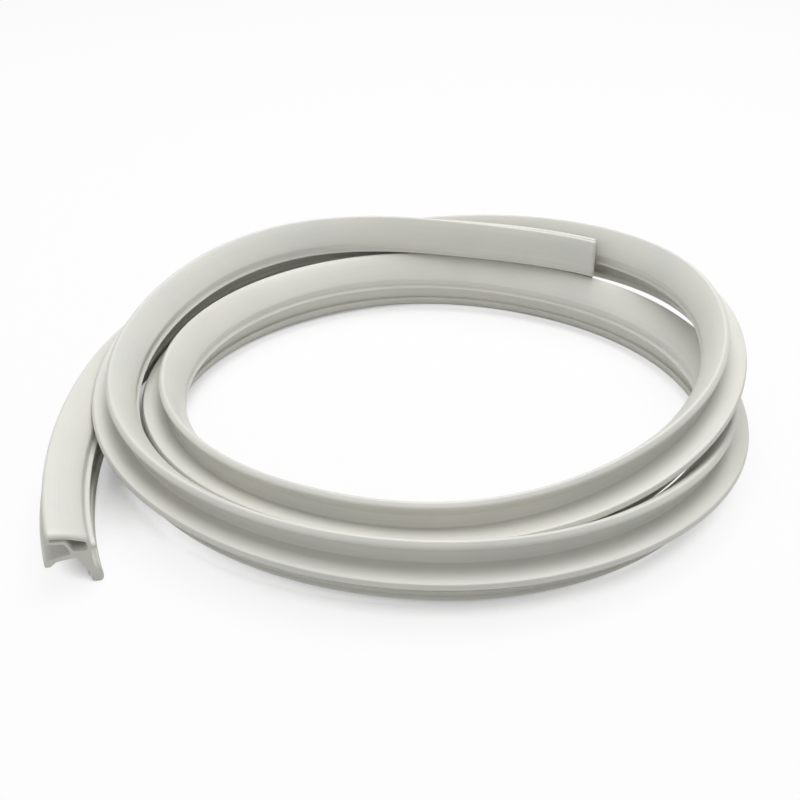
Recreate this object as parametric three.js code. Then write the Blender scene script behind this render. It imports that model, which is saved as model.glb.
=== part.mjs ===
import * as THREE from 'three';
import { toCreasedNormals } from 'three/addons/utils/BufferGeometryUtils.js';

// A door gasket: one soft extruded strip lying in a loose coil of nearly two and a half turns,
// cut square at its first end and at a slant at its last. Millimetres, +Z up, floor at zero,
// the coil's middle over the origin. The front of the coil faces -Y.

// Section of the strip, drawn with the neck at zero, the outer tip of the bulb to the left
// and the flat face of the bulb on top.
const TIP_REACH = 10.4; // neck to the bulb's outer tip
const FACE_HEIGHT = 7.75; // neck to the flat face
const FACE_FALL = 1.85; // how far the face falls from tip to shoulder
const TIP_THICKNESS = 3.05;
const TIP_ROUND = 1.0;
const SHOULDER_REACH = 2.9;
const SHOULDER_ROUND = 1.3;
const WALL = 0.9; // wall of the hollow bulb
const CHANNEL_HEIGHT = 4.6; // neck to the bulb's underside
const FIN_REACH = 6.1;
const FIN_HEIGHT = 3.4;
const FIN_THICKNESS = 0.85;
const NECK_HEIGHT = 0.65;
const NECK_WIDTH = 4.5;
const LIP_REACH = 10.2;
const LIP_DROP = 4.8; // neck to the underside of the lip's bead
const LIP_BEAD = 2.55; // thickness of the lip's bead
const LIP_THICKNESS = 1.55; // where the lip leaves the neck
const LIP_EDGE_ROUND = 0.5; // upper edge of the bead
const LEG_REACH = 4.1; // neck's middle to the leg's inner side
const NECK_STEP = 0.4; // how far the neck's inner side stands back from the leg's
const LEG_LENGTH = 6.3; // neck to the notch above the foot
const LEG_THICKNESS = 3.0;
const LEG_SLANT = 2.7; // how far the leg runs inwards on its way down
const BARB_RISE = 1.1;
const FOOT_REACH = 9.3;
const FOOT_DEPTH = 11.1;
const FOOT_WIDTH = 3.9;
const FOOT_ROUND = 0.9;
const HEEL_BARB = 1.2; // how far the small barb stands out of the foot
const HEEL_NOTCH = 0.7; // depth of the notch under the small barb

// The lay of the coil. Angles are seen from above, counted from +X.
const FIRST_END = 217; // cut end at the front left, on the floor
const LAST_END = -667; // cut end at the back right, on top of the other turns
const LAST_CUT_SLANT = 25; // the last cut runs this many degrees off square
const SLANT_SHARE = 0.03; // of the run, over which the section comes round to that cut
const COIL_RADIUS = 115; // from the coil's axis to the middle of the turns
const STEPS = 127;

// One row for each equal part of the strip's run, from the first end to the last: how far it
// lies outside the coil's radius, height of the neck, lean of the face towards the axis, lift
// of the lip.
const LAY = [
  [45.75, 12, 12, -2],
  [21, 19.25, 23, 15],
  [26.5, 11.25, 36, 24],
  [22.75, 17.75, 44, 28],
  [18, 26.25, 48, 31],
  [3.5, 35.25, 53, 32],
  [-11, 42, 57, 34],
  [-17.25, 35.75, 44, 34],
  [-25.5, 23.75, 46, 31],
  [-29.75, 13.25, 52, 26],
  [-21.25, 14.75, 55, 21],
  [-5.75, 14.75, 51, 19],
  [2.25, 14.75, 44, 18],
  [0.5, 15, 37, 17],
  [-4.25, 15.25, 44, 18],
  [-9.5, 13.75, 46, 19],
  [-8.25, 14, 38, 21],
  [-10.75, 13.75, 34, 23],
  [-11.75, 14, 39, 25],
  [-12, 14.5, 40, 28],
  [-8.25, 15.75, 40, 32],
  [5, 18.25, 39, 21],
  [18.75, 21, 39, 8],
  [11, 33.25, 41, -1],
  [14.75, 33.5, 53, -8],
  [-6.5, 31.25, 68, -15],
  [-3, 32, 72, -21],
];

const LIP_ROOT = new THREE.Vector2(-1.6, -0.2);

function elastomer() {
  return new THREE.MeshStandardMaterial({
    name: 'elastomer',
    color: new THREE.Color(0.8, 0.8, 0.77),
    roughness: 0.45,
    metalness: 0,
  });
}

// Corners are [x, y, radius, points on the round, whether the corner swings with the lip].
function outerCorners() {
  const face = FACE_HEIGHT - FACE_FALL;
  const inner = LEG_REACH - NECK_STEP;
  const knee = LEG_REACH + 0.45 * LEG_SLANT;
  const notch = LEG_REACH + LEG_SLANT;
  const leg = 0.71 * LEG_LENGTH;
  const back = FOOT_REACH - FOOT_WIDTH;
  return [
    [-TIP_REACH, FACE_HEIGHT, TIP_ROUND, 3],
    [-0.48 * TIP_REACH, FACE_HEIGHT],
    [-0.05 * TIP_REACH, FACE_HEIGHT - 0.5 * FACE_FALL],
    [SHOULDER_REACH, face, SHOULDER_ROUND, 2],
    [SHOULDER_REACH + SHOULDER_ROUND, FIN_HEIGHT - 0.15],
    [FIN_REACH - 0.2, FIN_HEIGHT],
    [FIN_REACH, FIN_HEIGHT - FIN_THICKNESS],
    [inner, NECK_HEIGHT + 0.35],
    [LEG_REACH, -0.22 * LEG_LENGTH],
    [knee, -leg],
    [notch, -LEG_LENGTH],
    [notch + BARB_RISE, BARB_RISE - LEG_LENGTH],
    [FOOT_REACH, -0.78 * FOOT_DEPTH],
    [FOOT_REACH, -FOOT_DEPTH, FOOT_ROUND, 2],
    [back, -FOOT_DEPTH, FOOT_ROUND, 2],
    [back + HEEL_NOTCH, -0.85 * FOOT_DEPTH],
    [back - HEEL_BARB, -0.78 * FOOT_DEPTH],
    [back - 0.42 * HEEL_BARB, -0.67 * FOOT_DEPTH],
    [knee - LEG_THICKNESS, -leg],
    [LEG_REACH - NECK_WIDTH, NECK_HEIGHT - LIP_THICKNESS],
    [-0.63 * LIP_REACH, -0.52 * LIP_DROP, 0, 1, true],
    [-0.8 * LIP_REACH, -0.92 * LIP_DROP, 0, 1, true],
    [-LIP_REACH, -LIP_DROP, 0.39 * LIP_BEAD, 2, true],
    [-LIP_REACH, LIP_BEAD - LIP_DROP, LIP_EDGE_ROUND, 2, true],
    [LEG_REACH - NECK_STEP - 1.22 * NECK_WIDTH, NECK_HEIGHT],
    [-0.45 * TIP_REACH, CHANNEL_HEIGHT, 1, 2],
    [-TIP_REACH, FACE_HEIGHT - TIP_THICKNESS, 0.92 * TIP_ROUND, 2],
  ];
}

// The cavity keeps one wall's thickness from the bulb all the way round.
function cavityCorners() {
  const face = FACE_HEIGHT - FACE_FALL;
  const inner = LEG_REACH - NECK_STEP;
  const bulb = [
    [-TIP_REACH, FACE_HEIGHT],
    [-0.48 * TIP_REACH, FACE_HEIGHT],
    [SHOULDER_REACH, face],
    [SHOULDER_REACH + SHOULDER_ROUND, FIN_HEIGHT - 0.15],
    [inner, NECK_HEIGHT],
    [LEG_REACH - NECK_STEP - 1.22 * NECK_WIDTH, NECK_HEIGHT],
    [-0.45 * TIP_REACH, CHANNEL_HEIGHT],
    [-TIP_REACH, FACE_HEIGHT - TIP_THICKNESS],
  ];
  return inset(bulb, WALL);
}

function inset(corners, wall) {
  const count = corners.length;
  const edge = (i) => {
    const a = new THREE.Vector2(...corners[i % count]);
    const b = new THREE.Vector2(...corners[(i + 1) % count]);
    const along = b.clone().sub(a).normalize();
    const inward = new THREE.Vector2(along.y, -along.x);
    return { start: a.addScaledVector(inward, wall), along };
  };
  return corners.map((corner, i) => {
    const before = edge(i + count - 1);
    const after = edge(i);
    const apart = after.start.clone().sub(before.start);
    const reach = apart.cross(after.along) / before.along.cross(after.along);
    return before.start.addScaledVector(before.along, reach);
  });
}

function roundedLoop(corners) {
  const loop = [];
  corners.forEach(([x, y, radius = 0, points = 1, swings = false], i) => {
    const here = new THREE.Vector2(x, y);
    if (points === 1) {
      loop.push({ point: here, swings });
      return;
    }
    const last = new THREE.Vector2(...corners.at(i - 1)).sub(here).normalize();
    const next = new THREE.Vector2(...corners[(i + 1) % corners.length]).sub(here).normalize();
    const half = Math.acos(last.dot(next)) / 2;
    const axis = last.clone().add(next).normalize();
    const centre = here.clone().addScaledVector(axis, radius / Math.sin(half));
    const from = here.clone().addScaledVector(last, radius / Math.tan(half)).sub(centre);
    const to = here.clone().addScaledVector(next, radius / Math.tan(half)).sub(centre);
    const turn = Math.atan2(from.cross(to), from.dot(to));
    for (let k = 0; k < points; k += 1) {
      const spoke = from.clone().rotateAround(new THREE.Vector2(), (turn * k) / (points - 1));
      loop.push({ point: spoke.add(centre), swings });
    }
  });
  return loop;
}

// A smooth curve drawn through the column, 0 at the first row and 1 at the last.
function along(column, share) {
  const last = LAY.length - 1;
  const place = share * last;
  const row = Math.min(Math.floor(place), last - 1);
  const u = place - row;
  const value = (k) => {
    if (k < 0) return 2 * LAY[0][column] - LAY[1][column];
    if (k > last) return 2 * LAY[last][column] - LAY[last - 1][column];
    return LAY[k][column];
  };
  const v = 1 - u;
  const weights = [v ** 3, 3 * u ** 3 - 6 * u * u + 4, 3 * v ** 3 - 6 * v * v + 4, u ** 3];
  return weights.reduce((sum, weight, k) => sum + weight * value(row - 1 + k), 0) / 6;
}

function axisPoint(share) {
  const angle = THREE.MathUtils.degToRad(FIRST_END + (LAST_END - FIRST_END) * share);
  const radius = COIL_RADIUS + along(0, share);
  return new THREE.Vector3(radius * Math.cos(angle), radius * Math.sin(angle), along(1, share));
}

function cutSlant(share) {
  const near = THREE.MathUtils.smoothstep(share, 1 - SLANT_SHARE, 1);
  return near * THREE.MathUtils.degToRad(LAST_CUT_SLANT);
}

// The section at one place on the strip, leaned and stood across its run.
function placedSection(outer, cavity, share) {
  const centre = axisPoint(share);
  const run = axisPoint(share + 0.0005).sub(axisPoint(share - 0.0005)).setZ(0).normalize();
  const inward = new THREE.Vector3(run.y, -run.x, 0);
  inward.applyAxisAngle(new THREE.Vector3(0, 0, 1), cutSlant(share));
  const lean = THREE.MathUtils.degToRad(-along(2, share));
  const lift = THREE.MathUtils.degToRad(along(3, share));
  const stand = (point, swings) => {
    const flat = swings ? point.clone().rotateAround(LIP_ROOT, lift) : point.clone();
    flat.rotateAround(new THREE.Vector2(), lean);
    return centre.clone().addScaledVector(inward, flat.x).add(new THREE.Vector3(0, 0, flat.y));
  };
  return [
    outer.map(({ point, swings }) => stand(point, swings)),
    cavity.map((point) => stand(point, false)),
  ];
}

function stripGeometry() {
  const outer = roundedLoop(outerCorners());
  const cavity = cavityCorners();
  const rings = [];
  for (let k = 0; k <= STEPS; k += 1) rings.push(placedSection(outer, cavity, k / STEPS));
  const corners = [];
  const tri = (a, b, c) => corners.push(a, b, c);
  const skin = (side, flip) => {
    for (let k = 0; k < STEPS; k += 1) {
      const near = rings[k][side];
      const far = rings[k + 1][side];
      near.forEach((p, i) => {
        const j = (i + 1) % near.length;
        const quad = flip ? [p, near[j], far[j], far[i]] : [p, far[i], far[j], near[j]];
        tri(quad[0], quad[1], quad[2]);
        tri(quad[0], quad[2], quad[3]);
      });
    }
  };
  skin(0, true);
  skin(1, false);
  const faces = THREE.ShapeUtils.triangulateShape(outer.map(({ point }) => point), [cavity]);
  for (const [ring, flip] of [[rings[0], false], [rings[STEPS], true]]) {
    const points = [...ring[0], ...ring[1]];
    for (const [a, b, c] of faces) {
      if (flip) tri(points[a], points[c], points[b]);
      else tri(points[a], points[b], points[c]);
    }
  }
  const geometry = new THREE.BufferGeometry().setFromPoints(corners);
  return toCreasedNormals(geometry, 0.7);
}

// Sets the coil on the floor with the middle of its footprint over the origin.
function settle(geometry) {
  geometry.computeBoundingBox();
  const middle = geometry.boundingBox.getCenter(new THREE.Vector3());
  geometry.translate(-middle.x, -middle.y, -geometry.boundingBox.min.z);
  return geometry;
}

const doorGasket = new THREE.Mesh(settle(stripGeometry()), elastomer());
doorGasket.name = 'door_gasket';

const part = new THREE.Group();
part.name = 'coiled_door_gasket';
part.add(doorGasket);

export default part;
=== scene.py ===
import math

import bpy
import numpy as np
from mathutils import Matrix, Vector
from mathutils.geometry import tessellate_polygon


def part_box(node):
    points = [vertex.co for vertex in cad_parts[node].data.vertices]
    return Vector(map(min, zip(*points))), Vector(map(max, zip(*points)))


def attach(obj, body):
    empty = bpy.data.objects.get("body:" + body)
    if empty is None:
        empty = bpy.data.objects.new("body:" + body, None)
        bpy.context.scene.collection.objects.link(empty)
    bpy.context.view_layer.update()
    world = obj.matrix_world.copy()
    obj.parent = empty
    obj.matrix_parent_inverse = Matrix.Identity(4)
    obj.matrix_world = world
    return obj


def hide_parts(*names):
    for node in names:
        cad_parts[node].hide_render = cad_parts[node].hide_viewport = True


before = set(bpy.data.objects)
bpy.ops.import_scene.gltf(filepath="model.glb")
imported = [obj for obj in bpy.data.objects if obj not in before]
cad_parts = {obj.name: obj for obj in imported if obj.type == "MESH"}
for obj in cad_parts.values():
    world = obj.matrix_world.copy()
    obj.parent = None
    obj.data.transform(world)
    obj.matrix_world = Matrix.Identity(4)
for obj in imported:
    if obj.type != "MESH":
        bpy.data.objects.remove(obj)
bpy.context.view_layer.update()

# The gasket strip. One length of soft light grey elastomer, extruded through a die and cut off,
# the last end a little askew, now lying in a loose coil. The section is a hollow bulb with a
# flat sealing face, a long beaded lip, a short fin, and a leg with a barbed push-in foot.
MM = 0.001
tip_reach = 10.4  # millimetres from the neck to the bulb's outer tip
face_height = 7.75
face_fall = 1.85
tip_thickness = 3.05
shoulder_reach = 2.9
wall = 0.9
channel_height = 4.6
fin_reach = 6.1
fin_height = 3.4
fin_thickness = 0.85
neck_height = 0.65
neck_width = 4.5
lip_reach = 10.2
lip_drop = 4.8
lip_bead = 2.55
lip_thickness = 1.55
leg_reach = 4.1
leg_length = 6.3
leg_thickness = 3.0
leg_slant = 2.7
barb_rise = 1.1
foot_reach = 9.3
foot_depth = 11.1
foot_width = 3.9
heel_barb = 1.2
heel_notch = 0.7
lip_root = np.array([-1.6, -0.2])

first_end = 217  # degrees round the coil, seen from above
last_end = -667
coil_radius = 115
last_cut_slant = 25
slant_share = 0.03
stations = 720

# One row for each equal part of the run: how far it lies outside the coil's radius, height of
# the neck, lean of the face towards the axis, lift of the lip. Millimetres and degrees.
lay = np.array([
    [45.75, 12, 12, -2],
    [21, 19.25, 23, 15],
    [26.5, 11.25, 36, 24],
    [22.75, 17.75, 44, 28],
    [18, 26.25, 48, 31],
    [3.5, 35.25, 53, 32],
    [-11, 42, 57, 34],
    [-17.25, 35.75, 44, 34],
    [-25.5, 23.75, 46, 31],
    [-29.75, 13.25, 52, 26],
    [-21.25, 14.75, 55, 21],
    [-5.75, 14.75, 51, 19],
    [2.25, 14.75, 44, 18],
    [0.5, 15, 37, 17],
    [-4.25, 15.25, 44, 18],
    [-9.5, 13.75, 46, 19],
    [-8.25, 14, 38, 21],
    [-10.75, 13.75, 34, 23],
    [-11.75, 14, 39, 25],
    [-12, 14.5, 40, 28],
    [-8.25, 15.75, 40, 32],
    [5, 18.25, 39, 21],
    [18.75, 21, 39, 8],
    [11, 33.25, 41, -1],
    [14.75, 33.5, 53, -8],
    [-6.5, 31.25, 68, -15],
    [-3, 32, 72, -21],
])

# Corners of the section: across, up, radius of the round, whether the lip's swing moves it.
neck_step = 0.4
neck_side = leg_reach - neck_step
knee = leg_reach + 0.45 * leg_slant
notch = leg_reach + leg_slant
leg_bend = 0.71 * leg_length
foot_back = foot_reach - foot_width
channel_corner = neck_side - 1.22 * neck_width
section_corners = [
    (-tip_reach, face_height, 1.0, 0),
    (-0.48 * tip_reach, face_height, 14, 0),
    (-0.05 * tip_reach, face_height - 0.5 * face_fall, 12, 0),
    (shoulder_reach, face_height - face_fall, 1.3, 0),
    (shoulder_reach + 1.3, fin_height - 0.15, 0.9, 0),
    (fin_reach - 0.2, fin_height, 0.38, 0),
    (fin_reach, fin_height - fin_thickness, 0.38, 0),
    (neck_side, neck_height + 0.35, 0.7, 0),
    (leg_reach, -0.22 * leg_length, 3, 0),
    (knee, -leg_bend, 3, 0),
    (notch, -leg_length, 0.4, 0),
    (notch + barb_rise, barb_rise - leg_length, 0.3, 0),
    (foot_reach, -0.78 * foot_depth, 1.2, 0),
    (foot_reach, -foot_depth, 1.0, 0),
    (foot_back, -foot_depth, 0.9, 0),
    (foot_back + heel_notch, -0.85 * foot_depth, 0.3, 0),
    (foot_back - heel_barb, -0.78 * foot_depth, 0.28, 0),
    (foot_back - 0.42 * heel_barb, -0.67 * foot_depth, 0.3, 0),
    (knee - leg_thickness, -leg_bend, 4, 0),
    (leg_reach - neck_width, neck_height - lip_thickness, 0.7, 0),
    (-0.63 * lip_reach, -0.52 * lip_drop, 1.6, 1),
    (-0.8 * lip_reach, -0.92 * lip_drop, 0.8, 1),
    (-lip_reach, -lip_drop, 1.05, 1),
    (-lip_reach, lip_bead - lip_drop, 0.5, 1),
    (channel_corner, neck_height, 0.7, 0),
    (-0.45 * tip_reach, channel_height, 1.2, 0),
    (-tip_reach, face_height - tip_thickness, 0.92, 0),
]
bulb_corners = np.array([
    (-tip_reach, face_height),
    (-0.48 * tip_reach, face_height),
    (shoulder_reach, face_height - face_fall),
    (shoulder_reach + 1.3, fin_height - 0.15),
    (neck_side, neck_height),
    (channel_corner, neck_height),
    (-0.45 * tip_reach, channel_height),
    (-tip_reach, face_height - tip_thickness),
])


def inset(corners, depth):
    """The bulb's inner wall: each edge moved in by the wall, met with the next."""
    ahead = np.roll(corners, -1, 0) - corners
    ahead /= np.linalg.norm(ahead, axis=1)[:, None]
    starts = corners + depth * np.stack([ahead[:, 1], -ahead[:, 0]], 1)
    before, start_before = np.roll(ahead, 1, 0), np.roll(starts, 1, 0)
    apart = starts - start_before
    reach = (apart[:, 0] * ahead[:, 1] - apart[:, 1] * ahead[:, 0]) / (
        before[:, 0] * ahead[:, 1] - before[:, 1] * ahead[:, 0])
    return start_before + before * reach[:, None]


def rounded_loop(corners, step=28):
    """Points along a closed outline with every corner rounded, and which swing with the lip."""
    points, swings = [], []
    for i, (x, y, radius, swing) in enumerate(corners):
        here = np.array([x, y])
        back = np.array(corners[i - 1][:2]) - here
        ahead = np.array(corners[(i + 1) % len(corners)][:2]) - here
        reach = 0.46 * min(np.linalg.norm(back), np.linalg.norm(ahead))
        back /= np.linalg.norm(back)
        ahead /= np.linalg.norm(ahead)
        half = math.acos(back @ ahead) / 2
        radius = min(radius, reach * math.tan(half))
        centre = here + (back + ahead) / np.linalg.norm(back + ahead) * radius / math.sin(half)
        spoke = here + back * radius / math.tan(half) - centre
        last = here + ahead * radius / math.tan(half) - centre
        turn = math.atan2(spoke[0] * last[1] - spoke[1] * last[0], spoke @ last)
        count = max(2, math.ceil(abs(math.degrees(turn)) / step) + 1)
        for angle in np.linspace(0, turn, count):
            c, s = math.cos(angle), math.sin(angle)
            points.append(centre + [c * spoke[0] - s * spoke[1], s * spoke[0] + c * spoke[1]])
            swings.append(swing)
    return np.array(points), np.array(swings, bool)


def laid(column, share):
    """A smooth curve through one column of the lay, at shares 0 to 1 of the run."""
    values = np.concatenate([[2 * column[0] - column[1]], column, [2 * column[-1] - column[-2]]])
    place = share * (len(column) - 1)
    row = np.clip(np.floor(place).astype(int), 0, len(column) - 2)
    u = place - row
    v = 1 - u
    weights = [v**3, 3 * u**3 - 6 * u * u + 4, 3 * v**3 - 6 * v * v + 4, u**3]
    return sum(weight * values[row + k] for k, weight in enumerate(weights)) / 6


def turned(points, angle):
    """Points turned anticlockwise about zero, one angle for each row of points."""
    c, s = np.cos(angle)[:, None], np.sin(angle)[:, None]
    x, y = points[..., 0], points[..., 1]
    return np.stack([c * x - s * y, s * x + c * y], -1)


def swept(loop, swings):
    """The outline stood across the run at every station, in millimetres."""
    share = np.linspace(0, 1, stations + 1)
    angle = np.radians(first_end + (last_end - first_end) * share)
    radius = coil_radius + laid(lay[:, 0], share)
    axis = np.stack([radius * np.cos(angle), radius * np.sin(angle)], 1)
    run = np.gradient(axis, axis=0)
    run /= np.linalg.norm(run, axis=1)[:, None]
    flat = np.repeat(loop[None], stations + 1, 0)
    lift = np.radians(laid(lay[:, 3], share))
    flat[:, swings] = turned(flat[:, swings] - lip_root, lift) + lip_root
    flat = turned(flat, -np.radians(laid(lay[:, 2], share)))
    near = np.clip((share - 1 + slant_share) / slant_share, 0, 1)
    slant = math.radians(last_cut_slant) * near * near * (3 - 2 * near)
    inward = turned(np.stack([run[:, 1], -run[:, 0]], 1)[:, None], slant)
    ground = axis[:, None] + inward * flat[..., :1]
    height = laid(lay[:, 1], share)[:, None] + flat[..., 1]
    return np.concatenate([ground, height[..., None]], -1)


outer_loop, outer_swings = rounded_loop(section_corners)
cavity_radii = [0.5, 9, 0.9, 0.9, 1.0, 0.6, 1.4, 0.5]
cavity_corners = [(*point, radius, 0)
                  for point, radius in zip(inset(bulb_corners, wall), cavity_radii)]
cavity_loop, cavity_swings = rounded_loop(cavity_corners, 36)
skins = [swept(outer_loop, outer_swings), swept(cavity_loop, cavity_swings)]

# Set down as the CAD strip lies: floor at zero, the box's middle over the origin.
low = skins[0].reshape(-1, 3).min(0)
high = skins[0].reshape(-1, 3).max(0)
cad_low, cad_high = (np.array(corner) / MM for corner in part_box("door_gasket"))
shift = (cad_low + cad_high) / 2 - (low + high) / 2
shift[2] = cad_low[2] - low[2]
points = np.concatenate([(skin + shift).reshape(-1, 3) for skin in skins]) * MM

run_step = np.linalg.norm(np.diff(skins[0].mean(1), axis=0), axis=1)
run_length = np.concatenate([[0], np.cumsum(run_step)]) * MM
faces, face_uvs, face_slots = [], [], []
first = 0
for side, loop in enumerate((outer_loop, cavity_loop)):
    count = len(loop)
    around = np.linalg.norm(np.roll(loop, -1, 0) - loop, axis=1)
    around = np.concatenate([[0], np.cumsum(around)]) * MM
    for k in range(stations):
        for i in range(count):
            j = (i + 1) % count
            quad = [(k, i, i), (k, j, i + 1), (k + 1, j, i + 1), (k + 1, i, i)]
            if side == 1:
                quad.reverse()
            faces.append([first + s * count + p for s, p, _ in quad])
            face_uvs += [(run_length[s], around[q]) for s, _, q in quad]
            face_slots.append(0)
    first += count * (stations + 1)
rim = [Vector((x, y, 0)) for x, y in outer_loop], [Vector((x, y, 0)) for x, y in cavity_loop]
both = np.concatenate([outer_loop, cavity_loop]) * MM
edge = len(outer_loop)
for k in (0, stations):
    for corner in tessellate_polygon(rim):
        a, b, c = corner
        area = np.cross(both[b] - both[a], both[c] - both[a])
        if (area > 0) == (k > 0):
            corner = (c, b, a)
        place = [p + k * edge if p < edge
                 else (stations + 1) * edge + k * len(cavity_loop) + p - edge for p in corner]
        faces.append(place)
        face_uvs += [tuple(both[p]) for p in corner]
        face_slots.append(1)

strip_mesh = bpy.data.meshes.new("gasket_strip")
strip_mesh.from_pydata(points.tolist(), [], faces)
strip_mesh.polygons.foreach_set("material_index", face_slots)
strip_mesh.polygons.foreach_set("use_smooth", [slot == 0 for slot in face_slots])
uv_map = strip_mesh.uv_layers.new(name="run_and_girth")
uv_map.uv.foreach_set("vector", np.array(face_uvs).ravel())
strip_mesh.validate()
strip_mesh.update()
strip = bpy.data.objects.new("gasket_strip", strip_mesh)
bpy.context.collection.objects.link(strip)


def extruded_skin(name, colour, rough):
    """Satin elastomer: streaks along the run, fine grain, faint cloudiness, sparse dust."""
    material = bpy.data.materials.new(name)
    material.use_nodes = True
    nodes, links = material.node_tree.nodes, material.node_tree.links
    shader = nodes["Principled BSDF"]
    shader.inputs["IOR"].default_value = 1.5
    shader.inputs["Specular IOR Level"].default_value = 0.5

    where = nodes.new("ShaderNodeTexCoord")

    def noise(vector, scale, detail, roughness=0.5):
        node = nodes.new("ShaderNodeTexNoise")
        node.inputs["Scale"].default_value = scale
        node.inputs["Detail"].default_value = detail
        node.inputs["Roughness"].default_value = roughness
        links.new(vector, node.inputs["Vector"])
        return node.outputs["Fac"]

    def ranged(value, low, high, to_low, to_high):
        node = nodes.new("ShaderNodeMapRange")
        for socket, number in zip(("From Min", "From Max", "To Min", "To Max"),
                                  (low, high, to_low, to_high)):
            node.inputs[socket].default_value = number
        links.new(value, node.inputs["Value"])
        return node.outputs["Result"]

    def mixed(kind, factor, a, b):
        node = nodes.new("ShaderNodeMix")
        node.data_type = "RGBA"
        node.blend_type = kind
        for socket, value in ((node.inputs["Factor"], factor), (node.inputs["A"], a),
                              (node.inputs["B"], b)):
            if isinstance(value, (tuple, float)):
                socket.default_value = value
            else:
                links.new(value, socket)
        return node.outputs["Result"]

    drawn = nodes.new("ShaderNodeMapping")
    drawn.inputs["Scale"].default_value = (6, 900, 1)
    links.new(where.outputs["UV"], drawn.inputs["Vector"])
    streaks = noise(drawn.outputs["Vector"], 1.0, 3, 0.6)
    clouds = noise(where.outputs["Object"], 38, 3)
    grain = noise(where.outputs["Object"], 2600, 2)
    specks = noise(where.outputs["Object"], 520, 1)

    warm = tuple(min(1, c * k) for c, k in zip(colour, (1.02, 1.015, 1.0))) + (1,)
    cool = tuple(c * k for c, k in zip(colour, (0.975, 0.98, 0.985))) + (1,)
    tone = mixed("MIX", ranged(clouds, 0.35, 0.65, 0.0, 1.0), cool, warm)
    line = mixed("MULTIPLY", ranged(streaks, 0.3, 0.7, 0.09, 0.0), tone, (0.62, 0.61, 0.58, 1))
    dusty = mixed("MULTIPLY", ranged(specks, 0.8, 0.86, 0.0, 0.35), line, (0.45, 0.43, 0.4, 1))
    links.new(dusty, shader.inputs["Base Color"])
    links.new(ranged(streaks, 0.3, 0.7, rough + 0.07, rough - 0.05), shader.inputs["Roughness"])

    height = nodes.new("ShaderNodeMath")
    height.operation = "MULTIPLY_ADD"
    links.new(grain, height.inputs[0])
    height.inputs[1].default_value = 0.35
    links.new(streaks, height.inputs[2])
    bump = nodes.new("ShaderNodeBump")
    bump.inputs["Strength"].default_value = 0.35
    bump.inputs["Distance"].default_value = 0.00006
    links.new(height.outputs["Value"], bump.inputs["Height"])
    links.new(bump.outputs["Normal"], shader.inputs["Normal"])
    return material


strip_mesh.materials.append(extruded_skin("elastomer_skin", (0.70, 0.695, 0.65), 0.36))
strip_mesh.materials.append(extruded_skin("elastomer_cut", (0.66, 0.655, 0.61), 0.6))
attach(strip, "root")
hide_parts("door_gasket")

# The floor. A plain white table under the coil, which goes on past the picture's edges and
# takes the coil's soft shadow. To the camera it also glows white where it lies open; an
# occlusion term puts that glow out in the narrow gaps between turns, so the dark there is
# painted shade.
floor_half = 3.0
floor_drop = 0.0002
gap_reach = 0.03
floor_mesh = bpy.data.meshes.new("floor")
floor_mesh.from_pydata(
    [(x * floor_half, y * floor_half, -floor_drop)
     for x, y in ((-1, -1), (1, -1), (1, 1), (-1, 1))],
    [], [(0, 1, 2, 3)])
floor = bpy.data.objects.new("floor", floor_mesh)
bpy.context.collection.objects.link(floor)
floor_white = bpy.data.materials.new("floor_white")
floor_white.use_nodes = True
floor_nodes, floor_links = floor_white.node_tree.nodes, floor_white.node_tree.links
floor_nodes["Principled BSDF"].inputs["Base Color"].default_value = (0.82, 0.82, 0.82, 1)
floor_nodes["Principled BSDF"].inputs["Roughness"].default_value = 0.9
floor_nodes["Principled BSDF"].inputs["Specular IOR Level"].default_value = 0.0
bright = floor_nodes.new("ShaderNodeEmission")
bright.inputs["Strength"].default_value = 1.0
seen = floor_nodes.new("ShaderNodeLightPath")
# Painted shade: an occlusion term dims the floor's glow to the camera in the narrow gaps between
# turns.
painted_gap_shade = floor_nodes.new("ShaderNodeAmbientOcclusion")
painted_gap_shade.samples = 16
painted_gap_shade.inputs["Distance"].default_value = gap_reach
glow_after_painted_gap_shade = floor_nodes.new("ShaderNodeMapRange")
for socket, number in zip(("From Min", "From Max", "To Min", "To Max"), (0.12, 0.42, 0.0, 0.88)):
    glow_after_painted_gap_shade.inputs[socket].default_value = number
floor_links.new(painted_gap_shade.outputs["AO"], glow_after_painted_gap_shade.inputs["Value"])
share_seen = floor_nodes.new("ShaderNodeMath")
share_seen.operation = "MULTIPLY"
floor_links.new(seen.outputs["Is Camera Ray"], share_seen.inputs[0])
floor_links.new(glow_after_painted_gap_shade.outputs["Result"], share_seen.inputs[1])
both_shaders = floor_nodes.new("ShaderNodeMixShader")
floor_links.new(share_seen.outputs["Value"], both_shaders.inputs["Fac"])
floor_links.new(floor_nodes["Principled BSDF"].outputs["BSDF"], both_shaders.inputs[1])
floor_links.new(bright.outputs["Emission"], both_shaders.inputs[2])
floor_links.new(both_shaders.outputs["Shader"], floor_nodes["Material Output"].inputs["Surface"])
floor_mesh.materials.append(floor_white)

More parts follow.
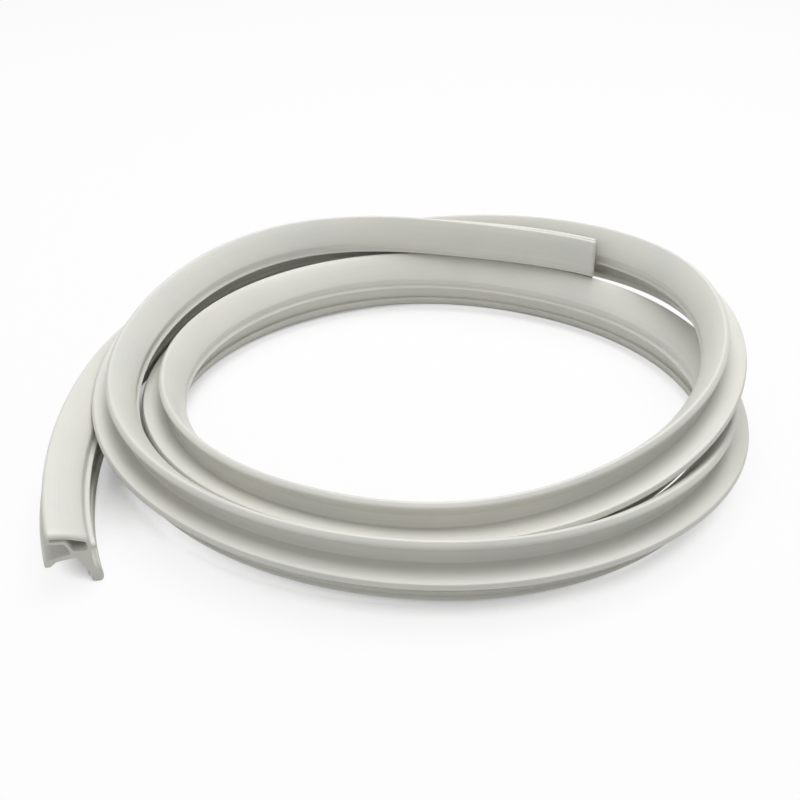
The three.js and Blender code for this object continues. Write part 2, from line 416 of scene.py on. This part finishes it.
# The studio. A large softbox over the coil and a little behind it, a weak one from the
# camera's side, and a dim even room; the camera sees the room as white.
world = bpy.data.worlds.new("studio")
bpy.context.scene.world = world
world.use_nodes = True
room_nodes, room_links = world.node_tree.nodes, world.node_tree.links
room = room_nodes["Background"]
room.inputs["Color"].default_value = (1, 1, 1, 1)
room.inputs["Strength"].default_value = 0.37
backdrop = room_nodes.new("ShaderNodeBackground")
backdrop.inputs["Color"].default_value = (1, 1, 1, 1)
path = room_nodes.new("ShaderNodeLightPath")
looked_at = path.outputs["Is Camera Ray"]
for kind in ("Is Glossy Ray", "Is Transmission Ray"):
    either = room_nodes.new("ShaderNodeMath")
    either.operation = "MAXIMUM"
    room_links.new(looked_at, either.inputs[0])
    room_links.new(path.outputs[kind], either.inputs[1])
    looked_at = either.outputs["Value"]
room_mix = room_nodes.new("ShaderNodeMixShader")
room_links.new(looked_at, room_mix.inputs["Fac"])
room_links.new(room.outputs["Background"], room_mix.inputs[1])
room_links.new(backdrop.outputs["Background"], room_mix.inputs[2])
room_links.new(room_mix.outputs["Shader"], room_nodes["World Output"].inputs["Surface"])


def softbox(name, place, aim, size, watts):
    lamp = bpy.data.lights.new(name, "AREA")
    lamp.shape = "SQUARE"
    lamp.size = size
    lamp.energy = watts
    box = bpy.data.objects.new(name, lamp)
    box.location = place
    box.rotation_euler = (Vector(aim) - Vector(place)).to_track_quat("-Z", "Y").to_euler()
    bpy.context.collection.objects.link(box)


softbox("top_softbox", (0.1, 0.25, 1.1), (0, 0, 0), 0.9, 11.2)
softbox("front_softbox", (-0.7, -1.0, 0.7), (0, 0, 0.02), 0.7, 1.2)

# The camera, just under half a metre from the coil and looking down at it from the front.
camera_distance = 0.4883
camera_rise = math.radians(31.45)
image_width = 800
focal_pixels = 1135.9
sensor_width = 36.0
aim = Vector((-0.0035, 0.0128, -0.0030))
camera_data = bpy.data.cameras.new("camera")
camera_data.sensor_width = sensor_width
camera_data.lens = focal_pixels * sensor_width / image_width
camera_data.clip_start = 0.01
camera = bpy.data.objects.new("camera", camera_data)
back_and_up = Vector((0, -math.cos(camera_rise), math.sin(camera_rise)))
camera.location = aim + camera_distance * back_and_up
camera.rotation_euler = (math.pi / 2 - camera_rise, 0, 0)
bpy.context.collection.objects.link(camera)
bpy.context.scene.camera = camera

bpy.context.scene.view_settings.view_transform = "Standard"
